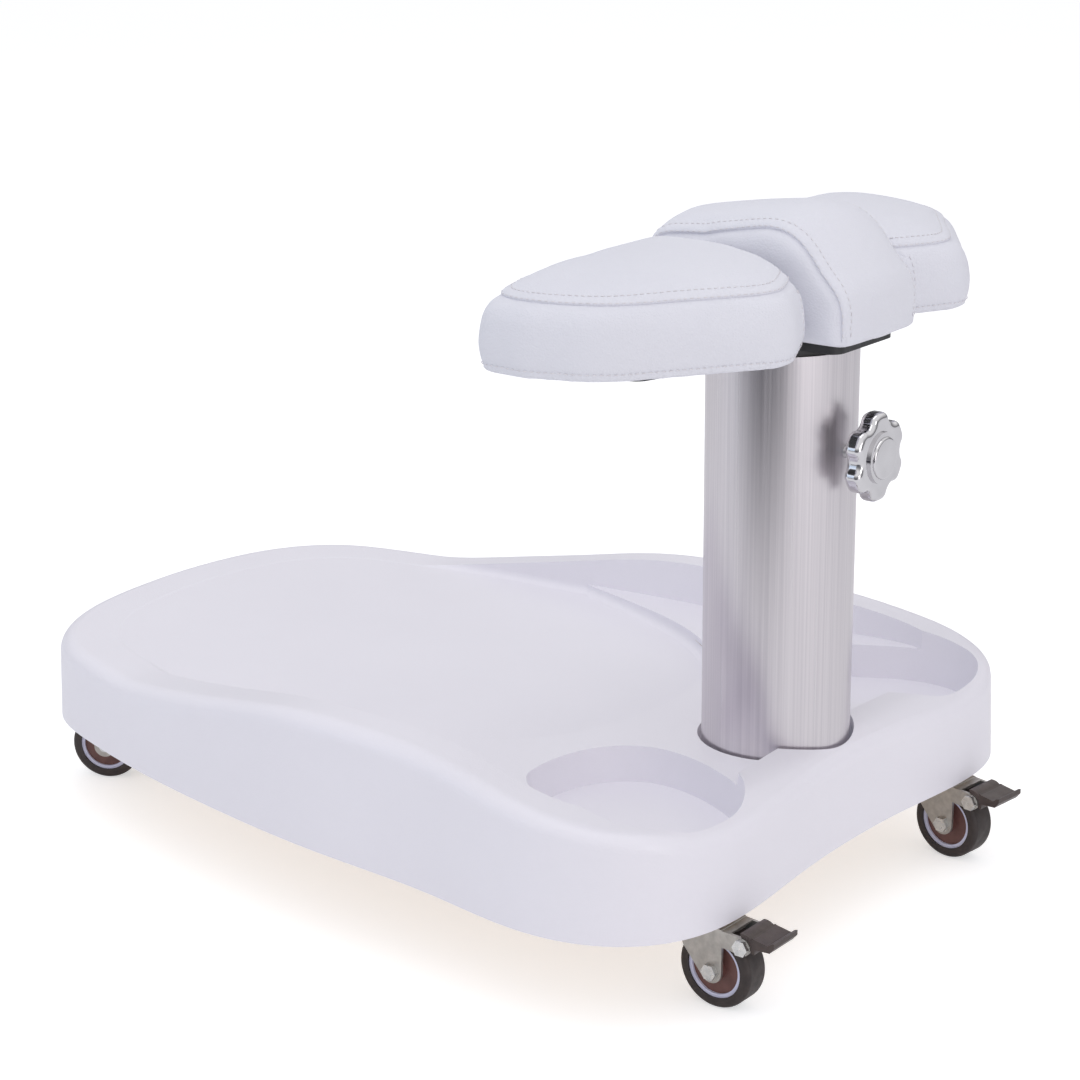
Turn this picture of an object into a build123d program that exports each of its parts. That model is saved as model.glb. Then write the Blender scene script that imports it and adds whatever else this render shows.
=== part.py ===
from build123d import *
import os
from math import cos, radians, sin, tan

os.makedirs("parts", exist_ok=True)

# Pedicure footrest, millimetres. +Z is up, the floor is Z = 0 and the origin is the middle of
# the whole footrest on the floor. +X points from the foot platform to the column end, and the
# near side is -Y.

# Base shell, measured from the column axis
base_left = 557.0
base_right = 66.0
base_half_width = 228.0
shell_bottom = 57.0
shell_wall = 4.0
shell_draft = 2.0
rim_inset = 31.0
well_lean = 6.0
rim_edge_radius = 11.0
well_foot_radius = 6.0
platform_z = 106.0
platform_low_x = -150.0
platform_rise = 9.0
platform_rise_length = 330.0
platform_lip = 0.2
deck_z = 116.0
rim_peak_z = 145.0
column_end_z = 111.0
column_end_slope = -0.12
flat_end_x = -425.0
tray_floor_z = 93.0
tray_centre_x = -15.0
tray_centre_y = 128.0
tray_half_length = 74.0
tray_half_width = 71.0
tray_floor_share = 0.90
hole_gap = 2.6
collar_bottom = 93.0
boss_radius = 7.0
overrun = 40.0

# Board inside the shell
board_underside = 66.0
board_thickness = 12.0
board_gap = 0.5

# Casters
wheel_diameter = 50.0
wheel_half_width = 9.7
tyre_shoulder = 3.2
ring_outer_radius = 18.5
ring_inner_radius = 16.2
ring_half_width = 8.4
core_half_width = 7.0
hub_radius = 6.5
hub_half_width = 10.7
axle_radius = 3.0
axle_head_radius = 4.6
axle_head_height = 3.0
caster_trail = 18.0
front_caster_x = 37.5
front_caster_y = 139.0
rear_caster_x = -490.0
rear_caster_y = 96.0
far_front_swivel = -6.3
near_rear_swivel = 208.0
far_rear_swivel = 165.0
fork_half_width = 13.0
fork_plate = 2.0
crown_top = 53.5
cup_radius = 16.0
cup_wall = 2.0
cup_gap = 0.8
ball_radius = 2.5
ball_pitch_radius = 10.5
ball_count = 8
stem_radius = 5.0
stem_head_radius = 6.5
stem_head_height = 2.4
stem_nut_flats = 16.0
stem_nut_height = 8.0
stem_end = 1.0
pivot_forward = 21.8
pivot_above_axle = 21.6
pedal_half_width = 12.5
ear_radius = 5.5
ear_depth = 9.0
axle_eye_radius = 7.5
cheek_back = 7.0
nose_reach = 15.0
nose_half_width = 6.0
nose_fold_x = -2.0
corner_round = 0.6
rivet_height = 1.0
pedal_tip_reach = 22.0
pedal_barrel_radius = 4.8
brake_reach = 5.5
brake_nose_radius = 2.0
brake_angle = 239.0
pedal_band = 2.7
pedal_lift = 8.0
band_start_angle = -20.0
band_end_angle = 100.0
leaf_start = 9.0
pedal_band_gap = 0.4
leaf_thickness = 0.8
leaf_half_width = 4.0
run_clearance = 0.05
ball_clearance = 0.1
side_clearance = 0.3

# Column and lift
tube_radius = 47.0
tube_wall = 3.0
tube_top = 371.0
flange_left = 66.0
flange_right = 48.0
flange_half_width = 64.0
flange_corner = 10.0
flange_thickness = 5.0
spigot_wall = 4.0
spigot_height = 12.0
flange_bolt_radius = 4.0
flange_nut_flats = 13.0
flange_nut_height = 6.5
bolt_head_height = 5.3
bush_height = 25.0
post_radius = 38.0
post_wall = 2.5
post_bottom = 137.0
post_foot_radius = 41.0
post_foot_height = 3.7
post_bead_radius = 39.5
post_bead_height = 2.5
seat_gap = 0.3
head_plate_radius = 45.0
head_plate_thickness = 4.0
head_spigot_height = 10.0
head_spigot_wall = 4.5
head_bolt_circle = 21.0
head_bolt_radius = 3.0
head_bolt_count = 4
head_bolt_reach = 5.0

# Clamp and knob
clamp_z = 308.5
clamp_screw_radius = 4.0
clamp_nut_half_width = 12.0
clamp_nut_half_height = 9.0
clamp_nut_inner = 39.2
pad_disc_radius = 7.0
pad_disc_thickness = 1.5
clamp_travel = 1.25
knob_back = 60.0
knob_thickness = 12.0
knob_radius = 27.5
knob_lobes = 6
knob_scallop_radius = 8.0
knob_scallop_circle = 31.0
knob_lobe_radius = 6.0
knob_edge_radius = 4.0
knob_bore_depth = 9.0
knob_collar_radius = 16.0
knob_collar_height = 1.6
knob_cap_radius = 13.0
knob_cap_height = 3.0
knob_cap_edge = 1.5

# Head: board and three pads
pad_board_thickness = 6.0
pad_board_inset = 46.0
pad_board_back_inset = 20.0
pad_board_front_inset = 16.0
pad_tongue_half_width = 34.0
pad_board_corner = 9.0
head_half_length = 213.0
head_front = 75.0
head_back = 76.0
middle_half_width = 44.0
pad_slot = 6.0
side_pad_height = 58.5
middle_pad_height = 76.0
pad_screw_radius = 2.0
pad_screw_head_radius = 4.0
pad_screw_head_height = 2.0
pad_screw_depth = 12.0

tray_outline_shares = [
    (-1.0, 0.25), (-0.995, -0.20), (-0.84, -0.62), (-0.48, -0.90), (-0.10, -0.91), (0.40, -0.74),
    (0.80, -0.46), (0.97, -0.15), (1.0, 0.30), (0.89, 0.74), (0.50, 1.0), (0.0, 0.97), (-0.50, 0.71),
    (-0.86, 0.49),
]
flange_bolt_places = [(-50.0, 36.0), (36.0, 50.0)]
boss_places = [(-420.0, 140.0), (-270.0, 150.0), (-125.0, 40.0)]
boss_screw_radius = 2.0
boss_screw_depth = 16.0
boss_screw_head_radius = 4.5
boss_screw_head_height = 2.5


def upright(frame):
    """Vertical plane along the frame's own X."""
    return Plane(origin=frame.origin, x_dir=frame.x_dir, z_dir=frame.x_dir.cross(frame.z_dir))


def point_on(frame, x, y, z):
    return frame.origin + frame.x_dir * x + frame.y_dir * y + frame.z_dir * z


def place(frame, x, y, z):
    """The same directions at another point of the frame."""
    return Plane(origin=point_on(frame, x, y, z), x_dir=frame.x_dir, z_dir=frame.z_dir)


def sideways(frame, y, z):
    """Vertical plane along the frame's own X, moved across it and up."""
    return upright(place(frame, 0, y, z))


def facing(frame, x, y, z):
    """Plane square to the frame's own X, with Z up the sheet."""
    return Plane(origin=point_on(frame, x, y, z), x_dir=frame.y_dir, z_dir=frame.x_dir)


def keep(part, name):
    part.label = name
    export_step(part, "parts/" + name + ".step")
    print(name, round(part.volume), len(part.solids()))


# The pressed end of the far brake pedal is the far end of the whole footrest
wheel_radius = wheel_diameter / 2
pivot_x = caster_trail + pivot_forward
pivot_z = wheel_radius + pivot_above_axle
swing = radians(far_front_swivel)
tip_x = (pivot_x + pedal_tip_reach) * cos(swing) + pedal_half_width * abs(sin(swing))
column_x = (base_left - front_caster_x - tip_x) / 2
ground = Plane(origin=(column_x, 0, 0))

board_top = board_underside + board_thickness
flange_top = board_top + flange_thickness
tube_bore = tube_radius - tube_wall
head_plate_bottom = tube_top + seat_gap
head_plate_top = head_plate_bottom + head_plate_thickness
pads_bottom = head_plate_top + pad_board_thickness


# Base shell
# Half outline as shares of the left reach, the right reach and the half width, from the left
# end round the near corner to the waist of the right end
left_outline_shares = [
    (-1.0, 0.0), (-0.993, 0.24), (-0.968, 0.46), (-0.905, 0.655), (-0.82, 0.745), (-0.70, 0.825),
    (-0.52, 0.907), (-0.36, 0.951), (-0.18, 0.976), (0.0, 0.996),
]
right_outline_shares = [
    (0.45, 0.94), (0.80, 0.835), (0.97, 0.70), (1.0, 0.58), (0.965, 0.42), (0.90, 0.22), (0.875, 0.0),
]
# Rise of the rim above the platform: places as shares of the way from the end of the flat part
# to the column end, heights as shares of the full rise
rim_rise_shares = [
    (0.10, 0.14), (0.17, 0.32), (0.26, 0.56), (0.34, 0.79), (0.42, 0.95), (0.50, 1.0), (0.585, 0.975),
    (0.67, 0.87), (0.745, 0.715), (0.81, 0.56), (0.86, 0.46), (0.91, 0.36), (0.95, 0.25),
]
# Platform side of the deck step, from the middle to the near rim
deck_step_shares = [
    (-0.155, 0.0), (-0.163, 0.16), (-0.185, 0.34), (-0.23, 0.485), (-0.30, 0.60), (-0.385, 0.68),
    (-0.50, 0.76), (-0.60, 0.86), (-0.68, 1.1),
]


def near_side(points, inset):
    reach_left, reach_right = base_left - inset, base_right - inset
    half_width = base_half_width - inset
    return [(x * (reach_left if x < 0 else reach_right), -y * half_width) for x, y in points]


def outline_sketch(frame, inset):
    near = near_side(left_outline_shares + right_outline_shares, inset)
    far = [(x, -y) for x, y in reversed(near[1:-1])]
    with BuildSketch(frame) as plan:
        with BuildLine():
            Spline(*near, *far, periodic=True)
        make_face()
    return plan.sketch


def draft_inset(height):
    return (height - shell_bottom) * tan(radians(shell_draft))


def platform_height(x):
    """Rim height beside the platform, which climbs evenly to the left; the platform is one lip lower."""
    return platform_z + (platform_low_x - x) * platform_rise / platform_rise_length


def space_above_rim(frame, drop):
    """Side view of the space above the rim."""
    start, end = flat_end_x, base_right + shell_wall
    foot = platform_height(start) - drop
    rise = rim_peak_z - platform_height(start)
    line = [(start + x * (end - start), foot + z * rise) for x, z in rim_rise_shares]
    left, right, ceiling = -base_left - overrun, end + overrun, rim_peak_z + overrun
    with BuildSketch(frame) as side:
        with BuildLine():
            flat = Line((left, platform_height(left) - drop), (start, foot))
            ends = [(platform_rise_length, -platform_rise), (1, column_end_slope)]
            crest = Spline(flat @ 1, *line, (end, column_end_z - drop), tangents=ends)
            Polyline(crest @ 1, (right, column_end_z - drop), (right, ceiling), (left, ceiling), flat @ 0)
        make_face()
    return side.sketch


def moulded_body(inset, drop):
    """Solid form of the shell: the drafted outline under the rim line."""
    top = rim_peak_z + overrun / 2
    across = base_half_width + overrun
    with BuildPart() as body:
        low = outline_sketch(ground.offset(shell_bottom), inset)
        high = outline_sketch(ground.offset(top), inset + draft_inset(top))
        loft([low.face(), high.face()], ruled=True)
        above = space_above_rim(sideways(ground, across, 0), drop)
        extrude(above, amount=2 * across, mode=Mode.SUBTRACT)
    return body.part


def well_space(grow):
    """Space inside the rim: down to the platform, and to the deck beyond the step."""
    low_z = platform_z - platform_rise - grow
    top = rim_peak_z + overrun / 2
    step = near_side(deck_step_shares, 0)
    far_step = [(x, -y) for x, y in step[1:]]
    right = base_right + overrun
    with BuildPart() as space:
        low = outline_sketch(ground.offset(low_z), rim_inset + well_lean - grow)
        high = outline_sketch(ground.offset(top), rim_inset - grow)
        loft([low.face(), high.face()], ruled=True)
        with BuildSketch(ground.offset(low_z)) as deck_plan:
            with BuildLine():
                edge = Spline(*reversed(step), *far_step)
                Polyline(edge @ 1, (right, (edge @ 1).Y), (right, (edge @ 0).Y), edge @ 0)
            make_face()
        extrude(deck_plan.sketch, amount=deck_z - platform_z + platform_rise, mode=Mode.SUBTRACT)
        left, across = -base_left - overrun, base_half_width + overrun
        with BuildSketch(sideways(ground, across, 0)) as ramp:
            with BuildLine():
                sunk = platform_lip + grow
                slope = Line((left, platform_height(left) - sunk), (right, platform_height(right) - sunk))
                Polyline(slope @ 1, (right, shell_bottom), (left, shell_bottom), slope @ 0)
            make_face()
        extrude(ramp.sketch, amount=2 * across, mode=Mode.SUBTRACT)
    return space.part


def platform_gap(point):
    """Height of a point above the platform."""
    return point.Z + platform_lip - platform_height(point.X - column_x)


def tray_outline(frame, side, share, grow):
    reach_x = tray_half_length * share + grow
    reach_y = tray_half_width * share + grow
    outline = [
        (tray_centre_x + x * reach_x, side * (tray_centre_y + y * reach_y)) for x, y in tray_outline_shares
    ]
    with BuildSketch(frame) as plan:
        with BuildLine():
            Spline(*outline, periodic=True)
        make_face()
    return plan.sketch


def tray_space(side, grow, top):
    """Space of one tray, up through the deck."""
    with BuildPart() as space:
        low = tray_outline(ground.offset(tray_floor_z - grow), side, tray_floor_share, grow)
        high = tray_outline(ground.offset(top), side, 1, grow)
        loft([low.face(), high.face()], ruled=True)
    return space.part


def both_sides(places):
    return [(x, -y) for x, y in places] + places


with BuildPart() as outer_body:
    add(moulded_body(0, 0))
    top_edges = [e for e in outer_body.edges() if e.bounding_box().min.Z > shell_bottom + overrun]
    fillet(top_edges, radius=rim_edge_radius)

with BuildPart() as well:
    add(well_space(0))
    foot_edges = []
    for edge in well.edges():
        if abs(platform_gap(edge @ 0)) + abs(platform_gap(edge @ 0.5)) < side_clearance:
            foot_edges.append(edge)
    fillet(foot_edges, radius=well_foot_radius)

with BuildPart() as hollow:
    add(moulded_body(shell_wall, shell_wall))
    add(well_space(shell_wall), mode=Mode.SUBTRACT)
    for side in (-1, 1):
        add(tray_space(side, shell_wall, deck_z + overrun), mode=Mode.SUBTRACT)
    with BuildSketch(ground.offset(collar_bottom)):
        Circle(tube_radius + hole_gap + shell_wall)
    extrude(amount=overrun, mode=Mode.SUBTRACT)
    with BuildSketch(ground.offset(board_top)):
        with Locations(*both_sides(boss_places)):
            Circle(boss_radius)
    extrude(amount=deck_z + overrun - board_top, mode=Mode.SUBTRACT)

with BuildPart() as base_shell:
    add(outer_body.part)
    add(well.part, mode=Mode.SUBTRACT)
    for side in (-1, 1):
        add(tray_space(side, 0, deck_z + overrun), mode=Mode.SUBTRACT)
    add(hollow.part, mode=Mode.SUBTRACT)
    with BuildSketch(ground.offset(shell_bottom)):
        Circle(tube_radius + hole_gap)
    extrude(amount=overrun + deck_z, mode=Mode.SUBTRACT)
    with BuildSketch(ground.offset(board_top)):
        with Locations(*both_sides(boss_places)):
            Circle(boss_screw_radius + run_clearance)
    extrude(amount=boss_screw_depth + side_clearance, mode=Mode.SUBTRACT)

keep(base_shell.part, "base_shell")


# Board under the shell, with the caster and column bolt holes
caster_places = both_sides([(rear_caster_x, rear_caster_y), (front_caster_x, front_caster_y)])
board_inset = shell_wall + draft_inset(board_top) + board_gap

with BuildPart() as base_board:
    extrude(outline_sketch(ground.offset(board_underside), board_inset), amount=board_thickness)
    with BuildSketch(ground.offset(board_underside)):
        with Locations(*caster_places):
            Circle(stem_radius + side_clearance)
        with Locations(*both_sides(flange_bolt_places)):
            Circle(flange_bolt_radius + side_clearance)
        with Locations(*both_sides(boss_places)):
            Circle(boss_screw_radius + run_clearance)
    extrude(amount=board_thickness, mode=Mode.SUBTRACT)

keep(base_board.part, "base_board")

with BuildPart() as shell_screws:
    with BuildSketch(ground.offset(board_underside - boss_screw_head_height)):
        with Locations(*both_sides(boss_places)):
            Circle(boss_screw_head_radius)
    extrude(amount=boss_screw_head_height)
    with BuildSketch(ground.offset(board_underside)):
        with Locations(*both_sides(boss_places)):
            Circle(boss_screw_radius)
    extrude(amount=board_thickness + boss_screw_depth)

keep(shell_screws.part, "shell_screws")


# Column
with BuildPart() as column_tube:
    with BuildSketch(ground.offset(flange_top)):
        Circle(tube_radius)
        Circle(tube_bore, mode=Mode.SUBTRACT)
    extrude(amount=tube_top - flange_top)
    with BuildSketch(facing(ground, 0, 0, clamp_z)):
        Circle(clamp_screw_radius + run_clearance)
    extrude(amount=tube_radius + overrun, mode=Mode.SUBTRACT)

keep(column_tube.part, "column_tube")

with BuildPart() as column_flange:
    with BuildSketch(ground.offset(board_top)):
        middle = (flange_right - flange_left) / 2
        with Locations((middle, 0)):
            RectangleRounded(flange_left + flange_right, 2 * flange_half_width, flange_corner)
        with Locations(*both_sides(flange_bolt_places)):
            Circle(flange_bolt_radius + side_clearance, mode=Mode.SUBTRACT)
    extrude(amount=flange_thickness)
    with BuildSketch(ground.offset(board_top)):
        Circle(tube_bore - run_clearance)
    extrude(amount=flange_thickness + spigot_height)
    with BuildSketch(ground.offset(board_top)):
        Circle(tube_bore - run_clearance - spigot_wall)
    extrude(amount=flange_thickness + spigot_height, mode=Mode.SUBTRACT)

keep(column_flange.part, "column_flange")


def hexagon(flats):
    return RegularPolygon(radius=flats / 2, side_count=6, major_radius=False)


with BuildPart() as flange_bolts:
    with BuildSketch(ground.offset(board_underside - bolt_head_height)):
        with Locations(*both_sides(flange_bolt_places)):
            hexagon(flange_nut_flats)
    extrude(amount=bolt_head_height)
    with BuildSketch(ground.offset(board_underside)):
        with Locations(*both_sides(flange_bolt_places)):
            Circle(flange_bolt_radius)
    extrude(amount=board_thickness + flange_thickness + flange_nut_height)

keep(flange_bolts.part, "flange_bolts")

with BuildPart() as flange_nuts:
    with BuildSketch(ground.offset(flange_top)):
        with Locations(*both_sides(flange_bolt_places)):
            hexagon(flange_nut_flats)
            Circle(flange_bolt_radius + run_clearance, mode=Mode.SUBTRACT)
    extrude(amount=flange_nut_height)

keep(flange_nuts.part, "flange_nuts")


def bush(bottom):
    with BuildPart() as ring:
        with BuildSketch(ground.offset(bottom)):
            Circle(tube_bore - run_clearance)
            Circle(post_radius + run_clearance, mode=Mode.SUBTRACT)
        extrude(amount=bush_height)
    return ring.part


lower_bush_bottom = post_bottom + post_foot_height + side_clearance
keep(bush(tube_top - bush_height), "upper_guide_bush")
keep(bush(lower_bush_bottom), "lower_guide_bush")

with BuildPart() as lift_post:
    bead_bottom = lower_bush_bottom + bush_height + side_clearance
    with BuildSketch(ground.offset(post_bottom)):
        Circle(post_radius)
    extrude(amount=head_plate_bottom - post_bottom)
    with BuildSketch(ground.offset(post_bottom)):
        Circle(post_foot_radius)
    extrude(amount=post_foot_height)
    with BuildSketch(ground.offset(bead_bottom)):
        Circle(post_bead_radius)
    extrude(amount=post_bead_height)
    with BuildSketch(ground.offset(post_bottom)):
        Circle(post_radius - post_wall)
    extrude(amount=head_plate_bottom - post_bottom, mode=Mode.SUBTRACT)

keep(lift_post.part, "lift_post")


# Clamp: nut behind the tube wall, pad against the post, screw and knob
pad_face = post_radius + ball_clearance
pad_back = pad_face + pad_disc_thickness
pocket_end = pad_back + clamp_travel + side_clearance

with BuildPart() as clamp_nut:
    with BuildSketch(ground.offset(clamp_z - clamp_nut_half_height)):
        Circle(tube_bore - run_clearance)
        Circle(clamp_nut_inner, mode=Mode.SUBTRACT)
        with Locations((tube_bore, 0)):
            Rectangle(tube_bore, 2 * clamp_nut_half_width, mode=Mode.INTERSECT)
    extrude(amount=2 * clamp_nut_half_height)
    with BuildSketch(facing(ground, 0, 0, clamp_z)):
        Circle(clamp_screw_radius + run_clearance)
    extrude(amount=tube_radius, mode=Mode.SUBTRACT)
    with BuildSketch(facing(ground, 0, 0, clamp_z)):
        Circle(pad_disc_radius + run_clearance)
    extrude(amount=pocket_end, mode=Mode.SUBTRACT)

keep(clamp_nut.part, "clamp_nut")

with BuildPart() as pressure_pad:
    with BuildSketch(facing(ground, 0, 0, clamp_z)):
        Circle(pad_disc_radius)
    extrude(amount=pad_back)
    with BuildSketch(ground.offset(clamp_z - overrun)):
        Circle(pad_face)
    extrude(amount=2 * overrun, mode=Mode.SUBTRACT)

keep(pressure_pad.part, "pressure_pad")

knob_front = knob_back + knob_thickness

with BuildPart() as clamp_screw:
    with BuildSketch(facing(ground, pad_back, 0, clamp_z)):
        Circle(clamp_screw_radius)
    extrude(amount=knob_back + knob_bore_depth - pad_back)

keep(clamp_screw.part, "clamp_screw")

with BuildPart() as knob:
    with BuildSketch(facing(ground, knob_back, 0, clamp_z)):
        Circle(knob_radius)
        with PolarLocations(knob_scallop_circle, knob_lobes):
            Circle(knob_scallop_radius, mode=Mode.SUBTRACT)
    extrude(amount=knob_thickness)
    fillet(knob.edges().filter_by(Axis.X), knob_lobe_radius)
    ends = knob.faces().sort_by(Axis.X)
    fillet(ends[-1].edges() + ends[0].edges(), knob_edge_radius)
    with BuildSketch(facing(ground, knob_front, 0, clamp_z)):
        Circle(knob_collar_radius)
        Circle(knob_cap_radius + run_clearance, mode=Mode.SUBTRACT)
    extrude(amount=knob_collar_height)
    with BuildSketch(facing(ground, knob_back, 0, clamp_z)):
        Circle(clamp_screw_radius + run_clearance)
    extrude(amount=knob_bore_depth, mode=Mode.SUBTRACT)

keep(knob.part, "knob")

with BuildPart() as knob_cap:
    with BuildSketch(facing(ground, knob_front, 0, clamp_z)):
        Circle(knob_cap_radius)
    extrude(amount=knob_cap_height)
    fillet(knob_cap.faces().sort_by(Axis.X)[-1].edges(), knob_cap_edge)

keep(knob_cap.part, "knob_cap")


# Head plate and pad board
with BuildPart() as head_plate:
    with BuildSketch(ground.offset(head_plate_bottom)):
        Circle(head_plate_radius)
    extrude(amount=head_plate_thickness)
    with BuildSketch(ground.offset(head_plate_bottom - head_spigot_height)):
        Circle(post_radius - post_wall - run_clearance)
        Circle(post_radius - post_wall - run_clearance - head_spigot_wall, mode=Mode.SUBTRACT)
    extrude(amount=head_spigot_height)
    with BuildSketch(ground.offset(head_plate_bottom)):
        with PolarLocations(head_bolt_circle, head_bolt_count):
            Circle(head_bolt_radius + side_clearance)
    extrude(amount=head_plate_thickness, mode=Mode.SUBTRACT)

keep(head_plate.part, "head_plate")

with BuildPart() as head_bolts:
    with BuildSketch(ground.offset(head_plate_bottom - head_bolt_radius)):
        with PolarLocations(head_bolt_circle, head_bolt_count):
            Circle(2 * head_bolt_radius)
    extrude(amount=head_bolt_radius)
    with BuildSketch(ground.offset(head_plate_bottom)):
        with PolarLocations(head_bolt_circle, head_bolt_count):
            Circle(head_bolt_radius)
    extrude(amount=head_plate_thickness + head_bolt_reach)

keep(head_bolts.part, "head_bolts")


# Pads
# Plan of a side pad: corners from the inner rear corner round to the outer rear corner, as
# shares of the back or front reach and of the length outside the slot, with corner radii
side_corner_shares = [(-1.0, 0.0), (0.66, 0.0), (0.99, 0.31), (0.12, 0.90), (-0.50, 1.0), (-1.0, 0.99)]
side_corner_radii = [10.0, 22.0, 24.0, 60.0, 30.0, 14.0]
slot_edge = middle_half_width + pad_slot
side_length = head_half_length - slot_edge


def radius_fillet(plan, corners, radii):
    """Round each named corner of a flat outline by its own radius."""
    for corner, radius in zip(corners, radii):
        fillet(plan.vertices().sort_by_distance(corner)[0], radius)


def side_pad_outline(frame, side, back_trim, front_trim, pull):
    """Plan of a side pad at one height, trimmed at its back and front, its outer end pulled in."""
    length = side_length - pull
    middle = (head_front - front_trim - head_back + back_trim) / 2
    reach = (head_front - front_trim + head_back - back_trim) / 2
    corners = []
    for x, y in side_corner_shares:
        corners.append((middle + x * reach, side * (slot_edge + slot_trim_share * back_trim + y * length)))
    with BuildSketch(frame) as plan:
        with BuildLine():
            Polyline(*corners, close=True)
        make_face()
        radius_fillet(plan, corners, [radius * length / side_length for radius in side_corner_radii])
    return plan.sketch


def side_pad(side):
    """Side pad: upright band, then a top that falls away towards its outer end."""
    with BuildPart() as pad:
        levels = []
        for height, back_trim, front_trim, pull in side_pad_levels:
            frame = ground.offset(pads_bottom + height)
            levels.append(side_pad_outline(frame, side, back_trim, front_trim, pull).face())
        loft(levels, ruled=True)
        with BuildSketch(ground.offset(pads_bottom)) as holes:
            with Locations(*[(x, side * y) for x, y in side_screw_places]):
                Circle(pad_screw_radius)
        extrude(holes.sketch, amount=pad_screw_depth, mode=Mode.SUBTRACT)
    return pad.part


def arch_outline(frame, height, front):
    """Side view of the middle pad at one place along its length."""
    corners = [(x * (head_back if x < 0 else front), z * height) for x, z in arch_corner_shares]
    with BuildSketch(frame) as arch:
        with BuildLine():
            Polyline(*corners, close=True)
        make_face()
        radius_fillet(arch, corners[1:-1], arch_corner_radii)
    return arch.sketch


# Levels of a side pad: height, trims of its back and front, pull of its outer end
side_pad_levels = [
    (0.0, 4.0, 4.0, 3.0), (16.0, 0.0, 0.0, 0.0), (32.0, 1.0, 3.0, 3.0), (38.0, 2.5, 6.5, 6.5),
    (42.0, 4.5, 12.0, 13.0), (46.0, 7.0, 22.0, 26.0), (50.0, 11.0, 37.0, 48.0), (53.5, 16.0, 54.0, 72.0),
    (56.5, 23.0, 72.0, 97.0), (side_pad_height, 31.0, 88.0, 118.0),
]
side_screw_places = [(-40.0, 90.0), (8.0, 120.0)]
middle_screw_places = [(-47.0, 26.0), (50.0, 20.0)]
slot_trim_share = 0.15
# Side view of the middle pad: corners as shares of its reach and height, from the low back
arch_corner_shares = [(-0.96, 0.0), (-0.98, 0.82), (0.38, 1.06), (1.0, 0.45), (0.96, 0.0)]
arch_corner_radii = [16.0, 34.0, 26.0]
# Sections of the middle pad along its length: shares of its half width, height and front reach
section_shares = [
    (-1.0, 0.79, 0.91), (-0.88, 0.87, 0.95), (-0.5, 0.96, 0.985), (0.0, 1.0, 1.0), (0.5, 0.96, 0.985),
    (0.88, 0.87, 0.95), (1.0, 0.79, 0.91),
]

with BuildPart() as middle_pad:
    arches = []
    for across, height, front in section_shares:
        frame = sideways(ground, across * middle_half_width, pads_bottom)
        arches.append(arch_outline(frame, height * middle_pad_height, front * head_front).face())
    loft(arches)
    with BuildSketch(ground.offset(pads_bottom)):
        with Locations(*both_sides(middle_screw_places)):
            Circle(pad_screw_radius)
    extrude(amount=pad_screw_depth, mode=Mode.SUBTRACT)

keep(middle_pad.part, "middle_pad")
keep(side_pad(-1), "near_pad")
keep(side_pad(1), "far_pad")

# Half plan of the board outside its front tongue, as shares of its reaches
board_corner_shares = [(1.0, 0.46), (0.14, 0.92), (-0.5, 1.0), (-1.0, 1.0)]
screw_places = both_sides(side_screw_places + middle_screw_places)

with BuildPart() as pad_board:
    back, front = head_back - pad_board_back_inset, head_front - pad_board_inset
    half_length = head_half_length - pad_board_inset
    tongue_front = head_front - pad_board_front_inset
    corners = [(x * (back if x < 0 else front), y * half_length) for x, y in board_corner_shares]
    corners = [(tongue_front, pad_tongue_half_width), (front, pad_tongue_half_width)] + corners
    mirrored = [(x, -y) for x, y in reversed(corners)]
    with BuildSketch(ground.offset(head_plate_top)) as board_plan:
        with BuildLine():
            Polyline(*corners, *mirrored, close=True)
        make_face()
        fillet(board_plan.vertices(), pad_board_corner)
        with Locations(*screw_places):
            Circle(pad_screw_radius + run_clearance, mode=Mode.SUBTRACT)
        with PolarLocations(head_bolt_circle, head_bolt_count):
            Circle(head_bolt_radius + run_clearance, mode=Mode.SUBTRACT)
    extrude(amount=pad_board_thickness)

keep(pad_board.part, "pad_board")

with BuildPart() as pad_screws:
    with BuildSketch(ground.offset(head_plate_top - pad_screw_head_height)):
        with Locations(*screw_places):
            Circle(pad_screw_head_radius)
    extrude(amount=pad_screw_head_height)
    with BuildSketch(ground.offset(head_plate_top)):
        with Locations(*screw_places):
            Circle(pad_screw_radius)
    extrude(amount=pad_board_thickness + pad_screw_depth)

keep(pad_screws.part, "pad_screws")


# Casters
# Pedal tongue as shares of the tip reach and of the pedal lift, from its root underside
tongue_shares = [
    (0.29, 0.05), (0.86, 0.15), (1.0, 0.62), (1.0, 1.0), (0.92, 0.95), (0.80, 0.68), (0.34, 0.88),
    (0.29, 0.95),
]
casters = [
    ("near_right", front_caster_x, -front_caster_y, 0.0, True),
    ("far_right", front_caster_x, front_caster_y, far_front_swivel, True),
    ("near_left", rear_caster_x, -rear_caster_y, near_rear_swivel, False),
    ("far_left", rear_caster_x, rear_caster_y, far_rear_swivel, False),
]
crown_underside = crown_top - fork_plate
cup_bottom = crown_top + cup_gap
ball_centre_z = crown_top + ball_clearance + ball_radius
cheek_inner = fork_half_width - fork_plate
crown_cut_x = pivot_x - ear_radius - pedal_band_gap - pedal_band - side_clearance


def caster_frame(x, y, turn):
    along = (cos(radians(turn)), sin(radians(turn)), 0)
    return Plane(origin=(column_x + x, y, 0), x_dir=along)


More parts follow.
